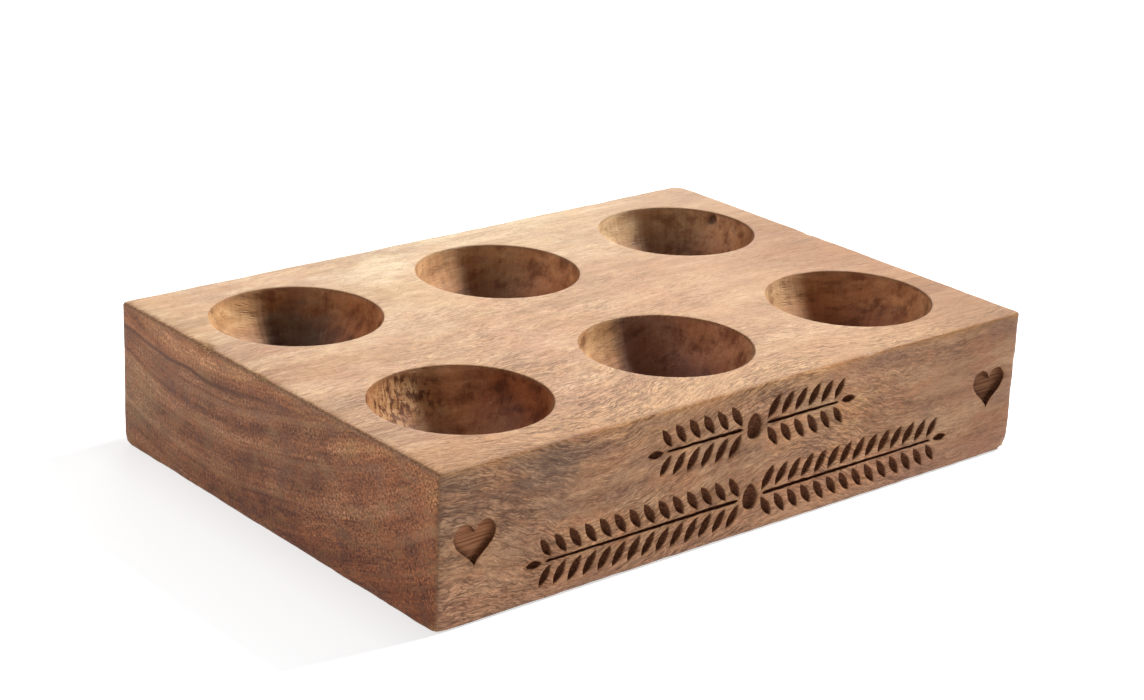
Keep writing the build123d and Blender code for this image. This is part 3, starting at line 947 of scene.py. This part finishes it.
    # the late-wood line that sweeps across the left end
    zd = T.math("ADD", T.math("MULTIPLY", T.math("POWER", T.math("ABSOLUTE", T.math("SUBTRACT", py, 33.0)), 2.0), 1 / 496), 31.8)
    zd = T.math("ADD", zd, T.math("MULTIPLY", T.math("SUBTRACT", T.noise(stretch(P, 40, 22, 60), 1.5, 0.5), 0.5), 5.0))
    dz = T.math("SUBTRACT", pz, zd)
    line = T.math("MAXIMUM", T.math("MULTIPLY", T.step(T.math("ABSOLUTE", dz), 0.15, 0.95, 1.0, 0.0), T.step(py, -20.0, 25.0, 0.45, 1.0)), T.math("MULTIPLY", T.math("MULTIPLY", T.step(dz, -5.5, -0.2), T.step(dz, -0.1, 0.2, 1.0, 0.0)), 0.35))
    line = T.math("MULTIPLY", line, T.step(px, -97.0, -70.0, 1.0, 0.0))
    ecol = T.mix(T.math("MULTIPLY", line, 0.80), ecol, (0.080, 0.028, 0.013))
    # a pin knot near the front foot of the left end
    kr = T.vec("LENGTH", T.vec("MULTIPLY", T.vec("SUBTRACT", P, (-100.0, -60.0, 19.0)), (0.12, 1 / 2.3, 1 / 2.3)))
    kring = T.math("MULTIPLY", T.math("ADD", T.math("MULTIPLY", T.math("SINE", T.math("MULTIPLY", kr, 9.0)), 0.5), 0.5), T.step(kr, 0.7, 1.15, 1.0, 0.0))
    ecol = T.mix(T.math("MULTIPLY", kring, 0.6), ecol, (0.070, 0.032, 0.020))

    side_l = T.step(px, -99.75, -98.9, 1.0, 0.0)
    top_l = T.math("MULTIPLY", T.step(pz, 39.1, 40.3), T.step(T.math("ADD", py, T.math("MULTIPLY", T.math("SUBTRACT", blg, 0.5), 130.0)), 60.0, 30.0, 0.35, 1.0))
    front_l = T.math("MULTIPLY", T.step(py, -69.9, -69.1, 1.0, 0.0), T.step(px, -99.9, -98.6, 1.0, 0.0))
    ecol = T.mix(T.math("MULTIPLY", T.math("MULTIPLY", side_l, top_l), 0.66), ecol, (0.095, 0.034, 0.016))
    in_bowl = T.math("SUBTRACT", 1.0, T.math("MULTIPLY", hollow, 0.78))
    wood = T.mix(T.math("MULTIPLY", endg, in_bowl), col, ecol)
    # torn fibres and dirt along the left end's top edge
    rag = T.noise(stretch(P, 2.6, 1.25, 2.0), 2.5, 0.65)
    reach = T.math("ADD", T.math("ABSOLUTE", T.math("ADD", px, 99.6)), T.math("MULTIPLY", T.math("SUBTRACT", rag, 0.5), -6.5))
    rim_l = T.math("MULTIPLY", T.math("MULTIPLY", T.step(reach, 0.35, 1.25, 1.0, 0.0), T.step(pz, 39.0, 40.1)), T.step(px, -96.5, -95.0, 1.0, 0.0))
    wood = T.mix(T.math("MULTIPLY", rim_l, 0.66), wood, T.mix(T.step(grit, 0.40, 0.60), (0.185, 0.074, 0.034), (0.420, 0.225, 0.118)))
    # painted shade: a dark band along the bottom edge stands in for the contact shadow
    foot = T.step(pz, 0.30, 1.10, 1.0, 0.0)
    wood = T.mix(T.math("MULTIPLY", foot, 0.60), wood, (0.085, 0.042, 0.026))

    wood = T.mix(T.math("MULTIPLY", T.math("MAXIMUM", front_l, front_r), 0.62), wood, (0.090, 0.036, 0.018))

    # inside the hollows: browner, with darker smears and marks that run down the wall, plus painted shade and painted
    # light set hollow by hollow
    lx = T.math("SUBTRACT", px, T.math("MULTIPLY", T.math("ROUND", T.math("MULTIPLY", px, 1 / PITCH_X)), PITCH_X))
    ly = T.math("SUBTRACT", T.math("ABSOLUTE", py), PITCH_Y / 2)
    az = T.math("ARCTAN2", ly, lx)
    # az is mirrored in the front row; turn is the true angle about each hollow
    turn = T.math("ARCTAN2", T.math("SUBTRACT", py, T.math("MULTIPLY", T.math("SIGN", py), PITCH_Y / 2)), lx)
    seen = T.math("MULTIPLY", T.step(turn, -0.90, -0.35), T.step(turn, 2.3, 2.9, 1.0, 0.0))
    side = T.math("ADD", T.math("SIGN", py), T.math("MULTIPLY", T.math("ROUND", T.math("MULTIPLY", px, 1 / PITCH_X)), 3.7))
    runs = T.noise(T.comb(T.math("MULTIPLY", az, 17.0), T.math("MULTIPLY", bowl, 2.2), T.math("MULTIPLY", side, 5.3)), 3.0, 0.6)
    smear = T.noise(stretch(Q, 15, 4.6, 4.6), 3.5, 0.62)
    dark = T.math("ADD", T.math("MULTIPLY", smear, 0.80), T.math("MULTIPLY", runs, 0.20))
    hcol = T.mix(1.0, wood, T.ramp(dark, HOLLOW), "MULTIPLY")
    # painted shade: the hollows darken with depth
    deep = T.step(T.math("ADD", bowl, T.math("MULTIPLY", T.math("SUBTRACT", smear, 0.5), 0.9)), 0.40, 0.92)
    hcol = T.mix(deep, hcol, T.vec("MULTIPLY", hcol, (0.50, 0.44, 0.42)))
    # painted light: the upper walls of the hollows are lightened, least in the left pair
    painted_upper_wall_light = T.math("MULTIPLY", T.step(bowl, 0.15, 0.62, 1.0, 0.0), T.step(px, -60.0, 10.0, 0.25, 1.0))
    hcol = T.mix(painted_upper_wall_light, hcol, T.vec("MULTIPLY", hcol, (1.34, 1.62, 1.78)))
    # painted shade: the back row hollows' back right walls are darkened and cooled
    painted_far_wall_shade = T.math("MULTIPLY", T.step(az, 0.20, 0.75), T.step(az, 1.30, 1.62, 1.0, 0.0))
    painted_far_wall_shade = T.math("MULTIPLY", painted_far_wall_shade, T.step(T.math("ADD", bowl, T.math("MULTIPLY", T.math("SUBTRACT", smear, 0.5), 1.2)), 0.05, 0.45))
    strong = T.math("MAXIMUM", T.step(T.math("ABSOLUTE", T.math("ADD", px, T.math("MULTIPLY", py, 0.95))), 36.0, 46.0, 1.0, 0.0), 0.50)
    painted_far_wall_shade = T.math("MULTIPLY", T.math("MULTIPLY", painted_far_wall_shade, strong), T.step(py, -2.0, 2.0))
    hcol = T.mix(painted_far_wall_shade, hcol, T.vec("MULTIPLY", hcol, (0.36, 0.43, 0.58)))
    # painted light: the back left hollow's upper walls are lightened
    painted_back_left_light = T.math("MULTIPLY", T.step(px, -60.0, -56.0, 1.0, 0.0), T.step(py, -2.0, 2.0))
    hcol = T.mix(T.math("MULTIPLY", painted_back_left_light, T.step(bowl, 0.35, 0.75, 1.0, 0.0)), hcol, T.vec("MULTIPLY", hcol, (1.22, 1.36, 1.42)))
    right_wall = T.step(T.math("COSINE", T.math("ADD", az, 0.35)), 0.35, 0.95)
    hcol = T.mix(right_wall, hcol, T.vec("MULTIPLY", hcol, (0.98, 0.78, 0.72)))
    # painted light: the walls of the right hand hollows facing the front left are lightened, the back one fully
    last = T.math("MULTIPLY", T.step(px, 30.0, 38.0), T.step(py, -2.0, 2.0, 0.35, 1.0))
    hcol = T.mix(T.math("MULTIPLY", last, seen), hcol, T.vec("MULTIPLY", hcol, (1.19, 1.42, 1.66)))
    # painted light and shade in the front left hollow: its middle is lightened and its right wall darkened
    first = T.math("MULTIPLY", T.math("MULTIPLY", T.step(px, -36.0, -34.0, 1.0, 0.0), T.step(py, -2.0, 2.0, 1.0, 0.0)), seen)
    hcol = T.mix(T.math("MULTIPLY", first, T.step(lx, -1.0, 5.0, 0.0, 1.0)), hcol, T.vec("MULTIPLY", hcol, (1.57, 1.99, 2.36)))
    hcol = T.mix(T.math("MULTIPLY", first, T.step(lx, 11.0, 21.5, 0.0, 1.0)), hcol, T.vec("MULTIPLY", hcol, (0.42, 0.257, 0.180)))
    # painted shade: the front middle hollow is darkened and cooled right of its lit left part
    painted_mid_hollow_shade = T.math("MULTIPLY", T.math("MULTIPLY", T.step(T.math("ABSOLUTE", px), 32.0, 36.0, 1.0, 0.0), T.step(py, -2.0, 2.0, 1.0, 0.0)), T.step(lx, -1.0, 5.0))
    hcol = T.mix(T.math("MULTIPLY", painted_mid_hollow_shade, seen), hcol, T.vec("MULTIPLY", hcol, T.mix(T.step(lx, 15.0, 21.0), (0.60, 0.67, 1.0), (0.86, 0.83, 0.91))))
    hcol = T.mix(T.math("MULTIPLY", blob((89.1, 43.1, 38.7), (2.3, 2.3, 2.3), 0.35, wob), 0.9), hcol, (0.035, 0.014, 0.008))
    hcol = T.mix(T.math("MULTIPLY", blob((12.5, 46.7, 25.2), (2.2, 2.2, 2.2), 0.3, wob), 0.8), hcol, (0.050, 0.020, 0.012))
    # ragged light fibres at the left of the front left hollow
    torn = T.noise(stretch(P, 1.25, 1.25, 3.2), 2.0, 0.65)
    area_ = blob((-71.5, -16.0, 33.5), (14.5, 9.5, 9.0), 0.45, wob)
    hcol = T.mix(T.math("MULTIPLY", T.math("MULTIPLY", T.step(torn, 0.50, 0.56), area_), 0.85), hcol, (0.590, 0.380, 0.190))
    hcol = T.mix(T.math("MULTIPLY", T.math("MULTIPLY", T.step(torn, 0.42, 0.48, 1.0, 0.0), area_), 0.80), hcol, (0.110, 0.046, 0.020))
    # painted shade: the lit left part of the front left hollow is dimmed
    hcol = T.mix(T.math("MULTIPLY", first, T.step(lx, -1.0, 4.0, 1.0, 0.0)), hcol, T.vec("MULTIPLY", hcol, (0.90, 0.81, 0.74)))
    wood = T.mix(hollow, wood, hcol)

    # edges rubbed by hands and abrasive, and the torn chips
    wood = T.mix(T.math("MULTIPLY", wear, T.lin(grit, 0.3, 0.7, 0.05, 0.36)), wood, (0.150, 0.080, 0.046))
    wood = T.mix(T.math("MULTIPLY", chip, 0.8), wood, T.mix(T.step(grit, 0.42, 0.58), (0.16, 0.065, 0.028), (0.50, 0.29, 0.13)))

    # carving scorched by the cutter
    char = T.ramp(T.math("ADD", T.math("MULTIPLY", fur, 0.6), T.math("MULTIPLY", grit, 0.4)), [(0.35, CHAR[0]), (0.50, CHAR[1]), (0.66, CHAR[2])])
    lines = T.noise(stretch(P, 12.0, 3, 0.36), 2.0, 0.5)
    hfloor = T.ramp(lines, [(0.40, (0.190, 0.070, 0.031)), (0.50, (0.300, 0.126, 0.059)), (0.60, (0.385, 0.174, 0.087))])
    hfloor = T.mix(T.step(px, 60.0, 75.0), hfloor, T.vec("MULTIPLY", hfloor, (0.60, 0.62, 0.64)))
    char = T.mix(T.math("MULTIPLY", floor_, 0.92), char, hfloor)
    wood = T.mix(T.step(cut, 0.30, 0.75, 0.0, 0.97), wood, char)

    T.put(bsdf.inputs["Base Color"], wood)
    rough = T.math("ADD", T.lin(fur, 0.35, 0.65, 0.60, 0.50), T.math("MULTIPLY", cut, 0.16))
    T.put(bsdf.inputs["Roughness"], T.math("ADD", rough, T.math("MULTIPLY", pores, 0.12)))
    lipf = T.math("MULTIPLY", T.step(pz, 39.6, 40.2), T.step(py, -69.8, -69.0, 1.0, 0.0))
    dry = T.math("MAXIMUM", T.math("MAXIMUM", T.math("MULTIPLY", endg, 0.5), cut), lipf)
    T.put(bsdf.inputs["Specular IOR Level"], T.lin(dry, 0.0, 1.0, 0.34, 0.08))
    bsdf.inputs["IOR"].default_value = 1.47

    # relief too fine for the mesh: open pores, raised fibres, torn end grain
    h = T.math("MULTIPLY", pores, -0.9)
    h = T.math("ADD", h, T.math("MULTIPLY", fur, 1.3))
    h = T.math("ADD", h, T.math("MULTIPLY", grit, T.math("ADD", T.math("MULTIPLY", endg, 0.6), 0.25)))
    h = T.math("ADD", h, T.math("MULTIPLY", runs, T.math("MULTIPLY", hollow, 0.8)))
    bump = T.n.new("ShaderNodeBump")
    bump.inputs["Strength"].default_value = 0.6
    bump.inputs["Distance"].default_value = 0.00016
    T.put(bump.inputs["Height"], h)
    T.l.new(bump.outputs[0], bsdf.inputs["Normal"])
    return m


# colours, linear
LONG = [(0.250, 0.122, 0.056), (0.360, 0.196, 0.098), (0.455, 0.272, 0.147), (0.530, 0.345, 0.204)]
PINK, GOLD = (0.440, 0.228, 0.138), (0.490, 0.284, 0.120)
GREY, REDDER = (0.270, 0.190, 0.130), (0.370, 0.160, 0.072)
END = [(0.150, 0.052, 0.022), (0.225, 0.086, 0.037), (0.290, 0.124, 0.055), (0.345, 0.165, 0.082)]
END_RED, END_OLIVE = (0.290, 0.098, 0.034), (0.270, 0.150, 0.066)
HOLLOW = [(0.38, (0.52, 0.38, 0.30)), (0.48, (0.90, 0.75, 0.62)), (0.60, (1.16, 1.01, 0.86))]
CHAR = [(0.026, 0.0075, 0.0030), (0.075, 0.0235, 0.0095), (0.180, 0.0640, 0.0280)]
FACE_TONE = (0.85, 0.74, 0.66)
me.materials.append(wood_material())

# ---------------------------------------------------------------- stage
sc = bpy.context.scene
sc.view_settings.view_transform = "Standard"
sc.view_settings.look = "None"
sc.view_settings.exposure = 0.0


def emitter_floor():
    fm = bpy.data.meshes.new("floor")
    r, n = 9.0, 96
    vs = [(0, 0, 0)] + [(r * math.cos(a), r * math.sin(a), 0) for a in np.linspace(0, 2 * math.pi, n + 1)[:-1]]
    fm.from_pydata([(x, y, z - 0.00002) for x, y, z in vs], [], [(0, 1 + i, 1 + (i + 1) % n) for i in range(n)])
    ob = bpy.data.objects.new("floor", fm)
    sc.collection.objects.link(ob)
    m = bpy.data.materials.new("pale_floor")
    m.use_nodes = True
    T = Tree(m.node_tree)
    b = T.n.new("ShaderNodeBsdfPrincipled")
    T.l.new(b.outputs[0], T.n.new("ShaderNodeOutputMaterial").inputs["Surface"])
    b.inputs["Base Color"].default_value = (FLOOR_ALB, FLOOR_ALB, FLOOR_ALB, 1)
    b.inputs["Roughness"].default_value = 0.85
    b.inputs["Specular IOR Level"].default_value = 0.15
    b.inputs["Emission Color"].default_value = (1.0, 1.0, 1.0, 1)
    # the sweep glows less under the block's edge, and fully far out: the dip by the block is a painted contact shadow
    # that fades out over about 42 mm
    at = T.vec("ABSOLUTE", T.n.new("ShaderNodeNewGeometry").outputs["Position"])
    gap = T.vec("LENGTH", T.vec("MAXIMUM", T.vec("SUBTRACT", at, (HX / 1000, HY / 1000, 0.0)), (0.0, 0.0, 0.0)))
    glow_with_painted_shadow = T.lin(gap, 0.0, 0.013, 0.0, FLOOR_PAINTED_SHADOW_FADE[0])
    glow_with_painted_shadow = T.math("ADD", glow_with_painted_shadow, T.lin(gap, 0.013, 0.042, 0.0, FLOOR_PAINTED_SHADOW_FADE[1]))
    glow_with_painted_shadow = T.math("ADD", glow_with_painted_shadow, T.lin(gap, 0.9, 2.4, 0.0, 0.24))
    T.put(b.inputs["Emission Strength"], T.math("ADD", glow_with_painted_shadow, FLOOR_EMIT))
    fm.materials.append(m)


# the two fade steps lift the floor's glow away from the block, so the painted contact shadow fades out
FLOOR_ALB, FLOOR_EMIT, FLOOR_PAINTED_SHADOW_FADE = 0.50, 0.650, (0.085, 0.066)
emitter_floor()

world = bpy.data.worlds.new("studio")
sc.world = world
world.use_nodes = True
W = Tree(world.node_tree)
wout = W.n.new("ShaderNodeOutputWorld")
bg = W.n.new("ShaderNodeBackground")
W.l.new(bg.outputs[0], wout.inputs["Surface"])
wtc = W.n.new("ShaderNodeTexCoord")
up = W.sep(wtc.outputs["Generated"])[2]
W.put(bg.inputs["Color"], W.ramp(up, [(0.0, (1, 1, 1)), (0.09, (1, 1, 1)), (0.17, (0.06, 0.06, 0.062)), (1.0, (0.06, 0.06, 0.062))]))
bg.inputs["Strength"].default_value = 1.0


def area(name, pos, target, size, power, colour=(1, 1, 1), size_y=None, spread=180):
    d = bpy.data.lights.new(name, "AREA")
    d.shape = "RECTANGLE" if size_y else "DISK"
    d.size = size
    if size_y:
        d.size_y = size_y
    d.energy, d.color, d.spread = power, colour, math.radians(spread)
    ob = bpy.data.objects.new(name, d)
    sc.collection.objects.link(ob)
    ob.location = pos
    ob.rotation_mode = "QUATERNION"
    ob.rotation_quaternion = (Vector(target) - Vector(pos)).to_track_quat("-Z", "Y")
    return ob


def aim(az, el, dist):
    a, e = math.radians(az), math.radians(el)
    return (dist * math.cos(e) * math.cos(a), dist * math.cos(e) * math.sin(a), dist * math.sin(e))


# key from the right, a little hard; a weak soft one above; a low soft one behind
# that only glances off the top
area("key", aim(-6, 44, 2.2), (0, 0, 0.02), 0.34, 85.0, (1.0, 0.985, 0.96))
area("top_soft", (0.1, 0.1, 2.0), (0, 0, 0), 1.2, 3.5)
area("left_soft", aim(152, 36, 1.8), (0, 0, 0.02), 0.7, 11.0)
area("back_soft", aim(52, 19, 2.2), (0, 0, 0), 1.1, 10.0, size_y=0.6)

# ---------------------------------------------------------------- camera
cam_d = bpy.data.cameras.new("camera")
cam_d.sensor_fit, cam_d.sensor_width, cam_d.lens = "HORIZONTAL", 36.0, 79.73
cam_d.clip_start, cam_d.clip_end = 0.01, 50
cam = bpy.data.objects.new("camera", cam_d)
sc.collection.objects.link(cam)
right, down, ahead = (
    Vector((0.766963, -0.640296, 0.042285)), Vector((-0.194112, -0.294312, -0.935789)), Vector((0.611627, 0.709508, -0.350016)),
)
rot = Matrix((right, -down, -ahead)).transposed()
cam.matrix_world = Matrix.Translation((-0.421947, -0.487480, 0.268986)) @ rot.to_4x4()
sc.camera = cam
